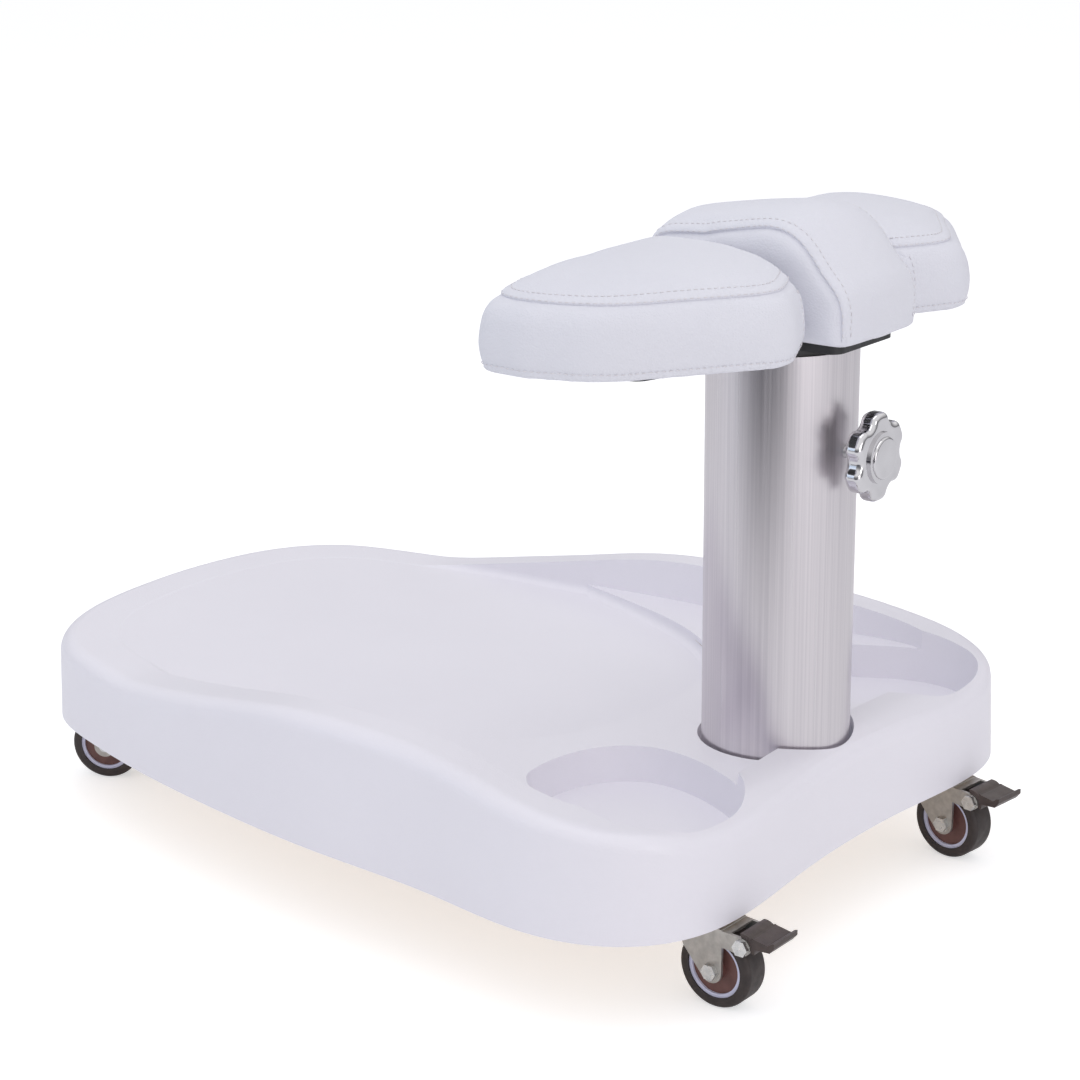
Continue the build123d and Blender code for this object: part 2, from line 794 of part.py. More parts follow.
def cup_part(frame):
    """Upper half of the ball race, a skirted disc under the board."""
    ball_room = ball_centre_z + ball_radius + ball_clearance - cup_bottom
    with BuildPart() as cup:
        with BuildSketch(frame.offset(cup_bottom)):
            Circle(cup_radius)
        extrude(amount=board_underside - cup_bottom)
        with BuildSketch(frame.offset(cup_bottom)):
            Circle(cup_radius - cup_wall)
        extrude(amount=ball_room, mode=Mode.SUBTRACT)
        with BuildSketch(frame.offset(cup_bottom)):
            Circle(stem_radius + run_clearance)
        extrude(amount=board_underside - cup_bottom, mode=Mode.SUBTRACT)
    return cup.part


def cheek_outline(frame):
    """Side view of the fork from the nose to behind the axle."""
    corner_z = crown_top - corner_round
    places = [(-nose_reach + corner_round, corner_z), (caster_trail + cheek_back, corner_z)]
    with BuildSketch(sideways(frame, fork_half_width, 0)) as outline:
        with Locations((caster_trail, wheel_radius)):
            Circle(axle_eye_radius)
        with Locations(*places):
            Circle(corner_round)
        make_hull()
    return outline.sketch


def ear_outline(frame):
    """Side view of the ears that carry the pedal."""
    corner_z = crown_top - corner_round
    with BuildSketch(sideways(frame, fork_half_width, 0)) as outline:
        with Locations((pivot_x, pivot_z)):
            Circle(ear_radius)
        with Locations((caster_trail, corner_z), (caster_trail, corner_z - ear_depth)):
            Circle(corner_round)
        make_hull()
    return outline.sketch


def fork_plan(frame, wall, far_end):
    """Plan of the fork with its nose folded inwards."""
    nose = -nose_reach + wall
    corners = [
        (nose, nose_half_width - wall), (nose_fold_x, fork_half_width - wall),
        (far_end, fork_half_width - wall),
    ]
    corners += [(x, -y) for x, y in reversed(corners)]
    with BuildSketch(frame) as plan:
        with BuildLine():
            Polyline(*corners, close=True)
        make_face()
    return plan.sketch


def fork_part(frame, braked):
    far_end = pivot_x + overrun
    with BuildPart() as fork:
        extrude(cheek_outline(frame), amount=2 * fork_half_width)
        if braked:
            extrude(ear_outline(frame), amount=2 * fork_half_width)
        extrude(fork_plan(frame, 0, far_end), amount=crown_top, mode=Mode.INTERSECT)
        extrude(fork_plan(frame, fork_plate, far_end), amount=crown_underside, mode=Mode.SUBTRACT)
        with BuildSketch(frame):
            Circle(stem_radius + run_clearance)
        extrude(amount=crown_top, mode=Mode.SUBTRACT)
        with BuildSketch(sideways(frame, fork_half_width, 0)):
            with Locations((caster_trail, wheel_radius), (pivot_x, pivot_z)):
                Circle(axle_radius + run_clearance)
        extrude(amount=2 * fork_half_width, mode=Mode.SUBTRACT)
        if braked:
            with BuildSketch(frame):
                with Locations((crown_cut_x, 0)):
                    Rectangle(overrun, 2 * cheek_inner, align=(Align.MIN, Align.CENTER))
            extrude(amount=crown_top, mode=Mode.SUBTRACT)
    return fork.part


def pin_part(frame, x, z):
    """Riveted pin across the fork: hexagon head on one side, upset end on the other."""
    with BuildPart() as pin:
        with BuildSketch(sideways(frame, fork_half_width, 0)):
            with Locations((x, z)):
                Circle(axle_radius)
        extrude(amount=2 * fork_half_width)
        with BuildSketch(sideways(frame, -fork_half_width, 0)):
            with Locations((x, z)):
                hexagon(2 * axle_head_radius)
        extrude(amount=axle_head_height)
        with BuildSketch(sideways(frame, fork_half_width + rivet_height, 0)):
            with Locations((x, z)):
                Circle(axle_head_radius - rivet_height)
        extrude(amount=rivet_height)
    return pin.part


def wheel_disc(frame, radius, bore, half_width):
    with BuildPart() as disc:
        with BuildSketch(sideways(frame, half_width, 0)):
            with Locations((caster_trail, wheel_radius)):
                Circle(radius)
                Circle(bore, mode=Mode.SUBTRACT)
        extrude(amount=2 * half_width)
    return disc.part


def core_part(frame):
    bore = axle_radius + run_clearance
    with BuildPart() as core:
        add(wheel_disc(frame, ring_inner_radius - run_clearance, bore, core_half_width))
        add(wheel_disc(frame, hub_radius, bore, hub_half_width))
    return core.part


def tyre_part(frame):
    with BuildPart() as tyre:
        add(wheel_disc(frame, wheel_radius, ring_outer_radius + run_clearance, wheel_half_width))
        circles = tyre.edges().filter_by(GeomType.CIRCLE)
        fillet([e for e in circles if e.radius > ring_outer_radius + tyre_shoulder], tyre_shoulder)
    return tyre.part


def sector(inner, outer):
    """Ring sector above the pedal pin, drawn about the pin."""
    rays = [(pivot_x, pivot_z)]
    for angle in (band_start_angle, (band_start_angle + band_end_angle) / 2, band_end_angle):
        reach = radians(angle)
        rays.append((pivot_x + overrun * cos(reach), pivot_z + overrun * sin(reach)))
    with BuildSketch() as band:
        with Locations((pivot_x, pivot_z)):
            Circle(outer)
            Circle(inner, mode=Mode.SUBTRACT)
        with BuildLine():
            Polyline(*rays, close=True)
        make_face(mode=Mode.INTERSECT)
    return band.sketch


def pedal_part(frame):
    """Brake pedal: barrel and brake nose between the ears, band and tongue over them."""
    band_outer = ear_radius + pedal_band_gap + pedal_band
    nose = radians(brake_angle)
    nose_reach_out = brake_reach - brake_nose_radius
    tongue = [(pivot_x + x * pedal_tip_reach, pivot_z + z * pedal_lift) for x, z in tongue_shares]
    with BuildPart() as pedal:
        with BuildSketch(sideways(frame, hub_half_width, 0)):
            with Locations((pivot_x, pivot_z)):
                Circle(pedal_barrel_radius)
            with Locations((pivot_x + nose_reach_out * cos(nose), pivot_z + nose_reach_out * sin(nose))):
                Circle(brake_nose_radius)
            add(sector(pedal_barrel_radius / 2, band_outer))
        extrude(amount=2 * hub_half_width)
        with BuildSketch(sideways(frame, pedal_half_width, 0)):
            add(sector(ear_radius + pedal_band_gap, band_outer))
            with BuildLine():
                Polyline(*tongue, close=True)
            make_face()
        extrude(amount=2 * pedal_half_width)
        with BuildSketch(sideways(frame, pedal_half_width, 0)):
            with Locations((pivot_x, pivot_z)):
                Circle(axle_radius + run_clearance)
        extrude(amount=2 * pedal_half_width, mode=Mode.SUBTRACT)
    return pedal.part


def leaf_part(frame):
    """Flat spring under the crown."""
    with BuildPart() as leaf:
        with BuildSketch(frame.offset(crown_underside - leaf_thickness)):
            with Locations((leaf_start, 0)):
                Rectangle(crown_cut_x - leaf_start, 2 * leaf_half_width, align=(Align.MIN, Align.CENTER))
        extrude(amount=leaf_thickness)
    return leaf.part


for name, x, y, turn, braked in casters:
    frame = caster_frame(x, y, turn)
    keep(cup_part(frame), name + "_race_cup")
    keep(fork_part(frame, braked), name + "_fork")
    keep(pin_part(frame, caster_trail, wheel_radius), name + "_axle")
    keep(core_part(frame), name + "_wheel_core")
    bore = ring_inner_radius
    keep(wheel_disc(frame, ring_outer_radius, bore, ring_half_width), name + "_wheel_ring")
    keep(tyre_part(frame), name + "_tyre")
    if braked:
        keep(pedal_part(frame), name + "_brake_pedal")
        keep(pin_part(frame, pivot_x, pivot_z), name + "_pedal_bolt")
        keep(leaf_part(frame), name + "_brake_spring")

with BuildPart() as stem_bolts:
    head_top = crown_underside - ball_clearance
    with BuildSketch(ground.offset(head_top - stem_head_height)):
        with Locations(*caster_places):
            Circle(stem_head_radius)
    extrude(amount=stem_head_height)
    with BuildSketch(ground.offset(head_top)):
        with Locations(*caster_places):
            Circle(stem_radius)
    extrude(amount=board_top + stem_nut_height + stem_end - head_top)

keep(stem_bolts.part, "stem_bolts")

with BuildPart() as stem_nuts:
    with BuildSketch(ground.offset(board_top)):
        with Locations(*caster_places):
            hexagon(stem_nut_flats)
            Circle(stem_radius + run_clearance, mode=Mode.SUBTRACT)
    extrude(amount=stem_nut_height)

keep(stem_nuts.part, "stem_nuts")

with BuildPart() as race_balls:
    for x, y in caster_places:
        with Locations(place(ground, x, y, ball_centre_z)):
            with PolarLocations(ball_pitch_radius, ball_count):
                Sphere(ball_radius)

keep(race_balls.part, "race_balls")
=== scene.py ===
from math import cos, exp, radians, sin

import bpy
from mathutils import Euler, Matrix, Vector, kdtree


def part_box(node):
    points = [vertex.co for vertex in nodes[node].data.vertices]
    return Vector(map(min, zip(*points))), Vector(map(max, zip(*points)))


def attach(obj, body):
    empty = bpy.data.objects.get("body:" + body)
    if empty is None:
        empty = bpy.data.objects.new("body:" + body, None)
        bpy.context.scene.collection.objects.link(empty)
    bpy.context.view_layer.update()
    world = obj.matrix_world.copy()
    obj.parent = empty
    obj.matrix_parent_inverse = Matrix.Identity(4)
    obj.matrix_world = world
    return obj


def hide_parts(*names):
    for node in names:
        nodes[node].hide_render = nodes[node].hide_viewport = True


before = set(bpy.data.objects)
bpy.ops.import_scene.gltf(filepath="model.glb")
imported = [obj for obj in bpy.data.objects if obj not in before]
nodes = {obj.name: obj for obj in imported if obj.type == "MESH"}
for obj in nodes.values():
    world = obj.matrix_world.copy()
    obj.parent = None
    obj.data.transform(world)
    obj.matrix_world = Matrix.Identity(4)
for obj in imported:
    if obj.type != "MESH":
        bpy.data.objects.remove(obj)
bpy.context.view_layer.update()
print("frame loaded,", len(nodes), "nodes")

scene = bpy.context.scene
columnLow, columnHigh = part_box("column_tube")
columnX = (columnLow[0] + columnHigh[0]) / 2
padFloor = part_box("middle_pad")[0][2]


# small helpers

def selectOnly(obj):
    bpy.ops.object.select_all(action="DESELECT")
    obj.select_set(True)
    bpy.context.view_layer.objects.active = obj


def newMaterial(name):
    material = bpy.data.materials.new(name)
    material.use_nodes = True
    tree = material.node_tree
    shader = tree.nodes["Principled BSDF"]
    place = tree.nodes.new("ShaderNodeTexCoord")
    return material, tree, shader, place


noiseLook = {"grainDetail": 4, "driftDetail": 5, "driftFrom": 0.3, "driftTo": 0.7}


def objectPlace(tree, place, stretch):
    # object coordinates, scaled unevenly for a brushed or grained finish
    source = place.outputs["Object"]
    if stretch:
        mapping = tree.nodes.new("ShaderNodeMapping")
        mapping.inputs["Scale"].default_value = stretch
        tree.links.new(source, mapping.inputs["Vector"])
        source = mapping.outputs["Vector"]
    return source


def grainBump(
    tree, place, shader, scale, strength, distance, kind="ShaderNodeTexNoise", stretch=None,
):
    # fine surface relief, added to any that is there
    texture = tree.nodes.new(kind)
    texture.inputs["Scale"].default_value = scale
    if kind == "ShaderNodeTexNoise":
        texture.inputs["Detail"].default_value = noiseLook["grainDetail"]
    tree.links.new(objectPlace(tree, place, stretch), texture.inputs["Vector"])
    bump = tree.nodes.new("ShaderNodeBump")
    bump.inputs["Strength"].default_value = strength
    bump.inputs["Distance"].default_value = distance
    output = "Distance" if kind == "ShaderNodeTexVoronoi" else "Fac"
    tree.links.new(texture.outputs[output], bump.inputs["Height"])
    previous = shader.inputs["Normal"]
    if previous.is_linked:
        tree.links.new(previous.links[0].from_socket, bump.inputs["Normal"])
    tree.links.new(bump.outputs["Normal"], shader.inputs["Normal"])


def colourDrift(tree, place, shader, dark, light, scale, socket="Base Color", stretch=None):
    # slow change between two near tones
    noise = tree.nodes.new("ShaderNodeTexNoise")
    noise.inputs["Scale"].default_value = scale
    noise.inputs["Detail"].default_value = noiseLook["driftDetail"]
    tree.links.new(objectPlace(tree, place, stretch), noise.inputs["Vector"])
    ramp = tree.nodes.new("ShaderNodeValToRGB")
    first, last = ramp.color_ramp.elements
    first.position = noiseLook["driftFrom"]
    last.position = noiseLook["driftTo"]
    first.color = (*dark, 1)
    last.color = (*light, 1)
    tree.links.new(noise.outputs["Fac"], ramp.inputs["Fac"])
    tree.links.new(ramp.outputs["Color"], shader.inputs[socket])


def roughDrift(tree, place, shader, low, high, scale, stretch=None):
    colourDrift(tree, place, shader, (low,) * 3, (high,) * 3, scale, "Roughness", stretch)


# materials

shellWhite, tree, shader, place = newMaterial("moulded_white")
shader.inputs["Roughness"].default_value = 0.42
shader.inputs["Coat Weight"].default_value = 0.12
shader.inputs["Coat Roughness"].default_value = 0.3
colourDrift(tree, place, shader, (0.775, 0.755, 0.815), (0.80, 0.78, 0.84), 6)
grainBump(tree, place, shader, 700, 0.18, 0.0004, "ShaderNodeTexVoronoi")
grainBump(tree, place, shader, 14, 0.08, 0.002)

padWhite, tree, shader, place = newMaterial("pad_leather")
shader.inputs["Roughness"].default_value = 0.6
shader.inputs["Specular IOR Level"].default_value = 0.2
colourDrift(tree, place, shader, (0.70, 0.70, 0.76), (0.73, 0.73, 0.785), 9)
grainBump(tree, place, shader, 800, 0.35, 0.0005, "ShaderNodeTexVoronoi")
grainBump(tree, place, shader, 60, 0.12, 0.001)

threadWhite, tree, shader, place = newMaterial("thread")
shader.inputs["Roughness"].default_value = 0.65
colourDrift(tree, place, shader, (0.62, 0.60, 0.63), (0.74, 0.72, 0.75), 300)
grainBump(tree, place, shader, 4000, 0.4, 0.0002)

columnMetal, tree, shader, place = newMaterial("brushed_column")
shader.inputs["Metallic"].default_value = 1
shader.inputs["Anisotropic"].default_value = 0.5
colourDrift(tree, place, shader, (0.61, 0.58, 0.61), (0.71, 0.675, 0.70), 1, stretch=(900, 900, 4))
roughDrift(tree, place, shader, 0.27, 0.37, 1, stretch=(500, 500, 3))
grainBump(tree, place, shader, 1, 0.12, 0.0003, stretch=(1900, 1900, 9))

chromeMetal, tree, shader, place = newMaterial("polished_chrome")
shader.inputs["Metallic"].default_value = 1
colourDrift(tree, place, shader, (0.60, 0.59, 0.61), (0.70, 0.69, 0.71), 40)
roughDrift(tree, place, shader, 0.05, 0.10, 120)
grainBump(tree, place, shader, 90, 0.03, 0.0003)

satinSteel, tree, shader, place = newMaterial("satin_steel")
shader.inputs["Metallic"].default_value = 0.9
colourDrift(tree, place, shader, (0.40, 0.38, 0.36), (0.52, 0.50, 0.47), 260)
roughDrift(tree, place, shader, 0.32, 0.45, 120)
grainBump(tree, place, shader, 900, 0.15, 0.0003)

zincSteel, tree, shader, place = newMaterial("zinc_bolts")
shader.inputs["Metallic"].default_value = 1
colourDrift(tree, place, shader, (0.60, 0.61, 0.62), (0.78, 0.78, 0.77), 300)
roughDrift(tree, place, shader, 0.22, 0.35, 200)
grainBump(tree, place, shader, 1200, 0.1, 0.0002)

blackPanel, tree, shader, place = newMaterial("black_panel")
colourDrift(tree, place, shader, (0.012, 0.012, 0.013), (0.025, 0.025, 0.027), 60)
roughDrift(tree, place, shader, 0.40, 0.55, 200)
grainBump(tree, place, shader, 900, 0.25, 0.0004)

plyWood, tree, shader, place = newMaterial("sealed_board")
shader.inputs["Roughness"].default_value = 0.6
colourDrift(tree, place, shader, (0.42, 0.29, 0.18), (0.60, 0.45, 0.30), 3, stretch=(2, 26, 26))
grainBump(tree, place, shader, 3, 0.2, 0.0005, stretch=(4, 60, 60))

bushPlastic, tree, shader, place = newMaterial("bush_plastic")
colourDrift(tree, place, shader, (0.02, 0.02, 0.02), (0.04, 0.04, 0.04), 90)
roughDrift(tree, place, shader, 0.4, 0.5, 200)
grainBump(tree, place, shader, 700, 0.15, 0.0003)

tyreRubber, tree, shader, place = newMaterial("tread_rubber")
colourDrift(tree, place, shader, (0.022, 0.015, 0.014), (0.040, 0.028, 0.026), 160)
roughDrift(tree, place, shader, 0.42, 0.58, 200)
grainBump(tree, place, shader, 1100, 0.25, 0.0003)

ringPlastic, tree, shader, place = newMaterial("ring_plastic")
shader.inputs["Roughness"].default_value = 0.4
colourDrift(tree, place, shader, (0.56, 0.56, 0.72), (0.64, 0.64, 0.80), 120)
grainBump(tree, place, shader, 900, 0.12, 0.0003)

corePlastic, tree, shader, place = newMaterial("core_plastic")
colourDrift(tree, place, shader, (0.10, 0.040, 0.035), (0.15, 0.065, 0.055), 120)
roughDrift(tree, place, shader, 0.35, 0.48, 200)
grainBump(tree, place, shader, 900, 0.2, 0.0003)

pedalPlastic, tree, shader, place = newMaterial("pedal_plastic")
colourDrift(tree, place, shader, (0.040, 0.026, 0.024), (0.065, 0.045, 0.040), 160)
roughDrift(tree, place, shader, 0.32, 0.45, 200)
grainBump(tree, place, shader, 1000, 0.2, 0.0003)

finishes = {
    "base_shell": shellWhite, "base_board": plyWood,
    "column_tube": columnMetal, "column_flange": blackPanel, "lift_post": columnMetal,
    "upper_guide_bush": bushPlastic, "lower_guide_bush": bushPlastic, "pressure_pad": bushPlastic,
    "head_plate": blackPanel, "pad_board": blackPanel,
    "knob": chromeMetal, "knob_cap": chromeMetal, "clamp_screw": zincSteel,
}
endings = {
    "_fork": satinSteel, "_race_cup": satinSteel, "_brake_spring": satinSteel,
    "_wheel_core": corePlastic, "_wheel_ring": ringPlastic, "_tyre": tyreRubber,
    "_brake_pedal": pedalPlastic,
}
for name, node in nodes.items():
    finish = finishes.get(name, zincSteel)
    for ending, material in endings.items():
        if name.endswith(ending):
            finish = material
    for slot in node.material_slots:
        slot.material = finish
print("materials on CAD nodes")


# pads

def puffPad(nodeName, puff):
    # stuffed copy of a CAD pad: remeshed, inflated by cloth, its underside held on the board
    source = nodes[nodeName]
    pad = bpy.data.objects.new(nodeName + "_cover", source.data.copy())
    scene.collection.objects.link(pad)
    selectOnly(pad)
    bpy.ops.object.mode_set(mode="EDIT")
    bpy.ops.mesh.select_all(action="SELECT")
    bpy.ops.mesh.remove_doubles(threshold=puff["weld"])
    bpy.ops.mesh.normals_make_consistent(inside=False)
    bpy.ops.object.mode_set(mode="OBJECT")
    low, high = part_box(nodeName)
    middle = (Vector(low) + Vector(high)) / 2
    size = Vector(high) - Vector(low)
    for vertex in pad.data.vertices:  # drawn in a little before it swells
        above = min(1, (vertex.co.z - low[2]) / puff["fade"])
        for axis in (0, 1, 2):
            away = vertex.co[axis] - middle[axis]
            if axis < 2 or away > 0:
                vertex.co[axis] -= above * puff["shrink"] * away / (size[axis] / 2)
    remesh = pad.modifiers.new("remesh", "REMESH")
    remesh.mode = "VOXEL"
    remesh.voxel_size = puff["voxel"]
    remesh.use_smooth_shade = True
    bpy.ops.object.modifier_apply(modifier=remesh.name)
    rest = [vertex.co.copy() for vertex in pad.data.vertices]
    free = [min(1, max(0, (home.z - low[2] - puff["heldBelow"]) / puff["fade"])) for home in rest]
    held = pad.vertex_groups.new(name="held")
    loose = pad.vertex_groups.new(name="loose")
    for index, share in enumerate(free):
        held.add([index], 1 - share, "REPLACE")
        loose.add([index], share, "REPLACE")
    cloth = pad.modifiers.new("cloth", "CLOTH")
    cloth.settings.use_pressure = True
    cloth.settings.uniform_pressure_force = puff["pressure"]
    cloth.settings.effector_weights.gravity = 0
    cloth.settings.vertex_group_mass = "held"
    cloth.settings.quality = puff["quality"]
    cloth.settings.tension_stiffness = puff["tension"]
    cloth.settings.bending_stiffness = puff["bending"]
    scene.frame_start, scene.frame_end = 1, puff["frames"]
    for step in range(1, puff["frames"] + 1):
        scene.frame_set(step)
    bpy.ops.object.modifier_apply(modifier=cloth.name)
    for vertex, home, share in zip(pad.data.vertices, rest, free):
        move = vertex.co - home
        cap = puff["cap"] * share
        if move.length > cap:
            vertex.co = home + move.normalized() * cap if cap > 0 else home
        vertex.co.z = max(vertex.co.z, low[2] + puff["underside"])
    pad.data.update()
    seamZ = low[2] + puff["seam"]
    for vertex in pad.data.vertices:  # fullest halfway between the seam and the top
        risen = (vertex.co.z - seamZ) / (high[2] - seamZ)
        if 0 < risen < 1:
            vertex.co += vertex.normal * puff["crown"] * 4 * risen * (1 - risen)
    smooth = pad.modifiers.new("relax", "SMOOTH")
    smooth.iterations = puff["relax"]
    smooth.factor = puff["relaxFactor"]
    smooth.vertex_group = "loose"
    bpy.ops.object.modifier_apply(modifier=smooth.name)
    finer = pad.modifiers.new("finer", "SUBSURF")
    finer.levels = 1
    bpy.ops.object.modifier_apply(modifier=finer.name)
    pad.vertex_groups.clear()
    bpy.ops.object.shade_smooth()
    pad.data.materials.clear()
    pad.data.materials.append(padWhite)
    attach(pad, "head")
    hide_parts(nodeName)
    return pad


puff = {
    "weld": 0.00002, "shrink": 0.0010, "voxel": 0.004, "heldBelow": 0.002, "fade": 0.010,
    "pressure": 3, "quality": 5, "tension": 18, "bending": 0.6, "frames": 20,
    "cap": 0.0025, "underside": 0.0002, "seam": 0.0425, "crown": 0.0030,
    "relax": 4, "relaxFactor": 0.5,
}
pads = {name: puffPad(name, puff) for name in ("near_pad", "middle_pad", "far_pad")}
scene.frame_set(1)
print("pads inflated")


# seams and stitching
thread = {"length": 0.0029, "radius": 0.00038, "step": 0.0040, "segments": 6, "rings": 4}
fold = {
    "step": 0.0025, "rounds": 6, "endPoints": 3, "endSunk": 0.0010,
    "tuckWidths": 4, "tuckOver": 0.0015,
    "profile": (
        (-0.0004, -0.0014), (-0.0006, 0.0002), (0.0002, 0.0008), (0.0022, 0.0010),
        (0.0044, 0.0008), (0.0060, 0.0003), (0.0076, 0.0004), (0.0100, -0.0006),
    ),
}


def leavePoints(pad, starts, directions):
    # where rays from inside the cover come out
    path = []
    for start, direction in zip(starts, directions):
        hit, point = pad.ray_cast(Vector(start), Vector(direction))[:2]
        if hit:
            path.append(point.copy())
    return path


def evenPath(points, step):
    # the same line with points a fixed distance apart
    even, left = [points[0].copy()], step
    for start, end in zip(points, points[1:]):
        length = (end - start).length
        done = 0.0
        while length - done >= left:
            done += left
            even.append(start.lerp(end, done / length))
            left = step
        left -= length - done
    return even


def softened(points):
    for _ in range(fold["rounds"]):
        inner = [(a + 2 * b + c) / 4 for a, b, c in zip(points, points[1:], points[2:])]
        points = [points[0]] + inner + [points[-1]]
    return points


def onCover(pad, point, lift):
    # nearest place on the cover, moved outwards by the lift
    place, normal = pad.closest_point_on_mesh(point)[1:3]
    return place + normal * lift, normal


def alongAndAside(pad, points, index, towards):
    # the line's own direction, and the one across it on the cover
    following = points[min(index + 1, len(points) - 1)]
    along = (following - points[max(index - 1, 0)]).normalized()
    normal = onCover(pad, points[index], 0)[1]
    aside = normal.cross(along).normalized()
    if aside.dot(Vector(towards)) < 0:
        aside = -aside
    return along, aside


def foldStrip(name, pad, points, towards):
    # upper panel lapped over the seam: a strip with a raised lower edge, sunk at its ends
    verts, faces = [], []
    last = len(points) - 1
    for index, point in enumerate(points):
        aside = alongAndAside(pad, points, index, towards)[1]
        raised = min(1, index / fold["endPoints"], (last - index) / fold["endPoints"])
        for reach, lift in fold["profile"]:
            lift = raised * lift - (1 - raised) * fold["endSunk"]
            verts.append(onCover(pad, point + aside * reach, lift)[0])
    wide = len(fold["profile"])
    for row in range(last):
        for column in range(wide - 1):
            corner = row * wide + column
            faces.append((corner, corner + 1, corner + wide + 1, corner + wide))
    mesh = bpy.data.meshes.new(name)
    mesh.from_pydata(verts, [], faces)
    strip = bpy.data.objects.new(name, mesh)
    scene.collection.objects.link(strip)
    middle = mesh.polygons[(len(points) // 2) * (wide - 1) + wide // 2]
    if middle.normal.dot(onCover(pad, middle.center, 0)[1]) < 0:
        mesh.flip_normals()
    selectOnly(strip)
    bpy.ops.object.shade_smooth()
    mesh.materials.append(padWhite)
    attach(strip, "head")


def tuckAlong(pad, points, towards, depth, width):
    # cover drawn in under the line
    tree = kdtree.KDTree(len(points))
    for index, point in enumerate(points):
        tree.insert(point, index)
    tree.balance()
    for vertex in pad.data.vertices:
        nearest, index, distance = tree.find(vertex.co)
        if distance > fold["tuckWidths"] * width:
            continue
        side = (vertex.co - nearest).dot(Vector(towards))
        if side < fold["tuckOver"]:
            vertex.co -= vertex.normal * depth * exp(-(distance / width) ** 2)
    pad.data.update()


def stitchRow(name, pad, points, towards, reach, lift):
    # one short thread per stitch, laid on the cover beside the line
    bpy.ops.mesh.primitive_uv_sphere_add(
        segments=thread["segments"], ring_count=thread["rings"], radius=1,
    )
    first = bpy.context.object
    sized = Matrix.Diagonal((thread["length"] / 2, thread["radius"], thread["radius"], 1))
    stitches = []
    for index in range(1, len(points) - 1):
        along, aside = alongAndAside(pad, points, index, towards)
        place, outward = onCover(pad, points[index] + aside * reach, lift)
        across = outward.cross(along).normalized()
        turned = Matrix((along, across, outward)).transposed().to_4x4()
        stitch = first.copy()
        stitch.data = first.data.copy()
        scene.collection.objects.link(stitch)
        stitch.matrix_world = Matrix.Translation(place) @ turned @ sized
        stitches.append(stitch)
    bpy.data.objects.remove(first)
    selectOnly(stitches[0])
    for stitch in stitches:
        stitch.select_set(True)
    bpy.ops.object.join()
    row = bpy.context.object
    bpy.ops.object.transform_apply(location=True, rotation=True, scale=True)
    bpy.ops.object.shade_smooth()
    row.name = name
    row.data.materials.append(threadWhite)
    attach(row, "head")


def stitchedSeam(name, pad, points, towards, seam):
    # fold, stitch rows on it, and the tucked panel below
    line = softened(evenPath(points, fold["step"]))
    foldStrip(name + "_fold", pad, line, towards)
    even = evenPath(line, thread["step"])
    for number, (reach, lift) in enumerate(seam["rows"], 1):
        stitchRow(name + "_stitches_" + str(number), pad, even, towards, reach, lift)
    tuckAlong(pad, line, towards, seam["tuck"], seam["tuckWidth"])


sidePad = {
    "seamHeight": 0.0425, "middleX": -0.012, "middleY": 0.118, "turns": range(-51, 232, 3),
    "rows": ((0.0000, 0.0006), (0.0063, 0.0004)), "tuck": 0.0008, "tuckWidth": 0.0030,
    "cornerX": 0.030, "cornerY": 0.0585,
    "cornerFoot": 0.003, "cornerRise": 0.0365, "cornerSteps": 12,
    "hemHeight": 0.0045, "hemReach": 0.0010, "hemLift": 0.0001,
}
for name, side in (("near_pad", -1), ("far_pad", 1)):
    pad = pads[name]
    middleX, middleY = columnX + sidePad["middleX"], side * sidePad["middleY"]
    centre = Vector((middleX, middleY, padFloor + sidePad["seamHeight"]))
    angles = [radians(turn) for turn in sidePad["turns"]]
    directions = [(cos(angle), side * sin(angle), 0) for angle in angles]
    seamPoints = leavePoints(pad, [centre] * len(angles), directions)
    lower = centre - Vector((0, 0, sidePad["seamHeight"] - sidePad["hemHeight"]))
    hemPoints = leavePoints(pad, [lower] * len(angles), directions)
    cornerX, cornerY = columnX + sidePad["cornerX"], side * sidePad["cornerY"]
    corner = []
    for step in range(sidePad["cornerSteps"] + 1):
        height = sidePad["cornerFoot"] + sidePad["cornerRise"] * step / sidePad["cornerSteps"]
        corner.append((cornerX, cornerY, padFloor + height))
    cornerPoints = leavePoints(pad, corner, [(1, 0, 0)] * len(corner))
    hem = softened(evenPath(hemPoints, thread["step"]))
    hemName = name + "_hem_stitches"
    stitchRow(hemName, pad, hem, (0, 0, 1), sidePad["hemReach"], sidePad["hemLift"])
    tuckAlong(pad, hem, (0, 0, -1), sidePad["tuck"], sidePad["tuckWidth"])
    stitchedSeam(name + "_corner", pad, cornerPoints, (0, side, 0), sidePad)
    stitchedSeam(name + "_seam", pad, seamPoints, (0, 0, 1), sidePad)

middlePad = {
    "seamY": 0.0405, "middleHeight": 0.022, "turns": range(-15, 196, 3),
    "rows": ((0.0000, 0.0006), (0.0063, 0.0004)), "tuck": 0.0014, "tuckWidth": 0.0040,
}
pad = pads["middle_pad"]
for word, side in (("near", -1), ("far", 1)):
    centre = Vector((columnX, side * middlePad["seamY"], padFloor + middlePad["middleHeight"]))
    angles = [radians(turn) for turn in middlePad["turns"]]
    directions = [(cos(angle), 0, sin(angle)) for angle in angles]
    seamPoints = leavePoints(pad, [centre] * len(angles), directions)
    stitchedSeam("middle_pad_" + word + "_seam", pad, seamPoints, (0, -side, 0), middlePad)
print("seams and stitches")


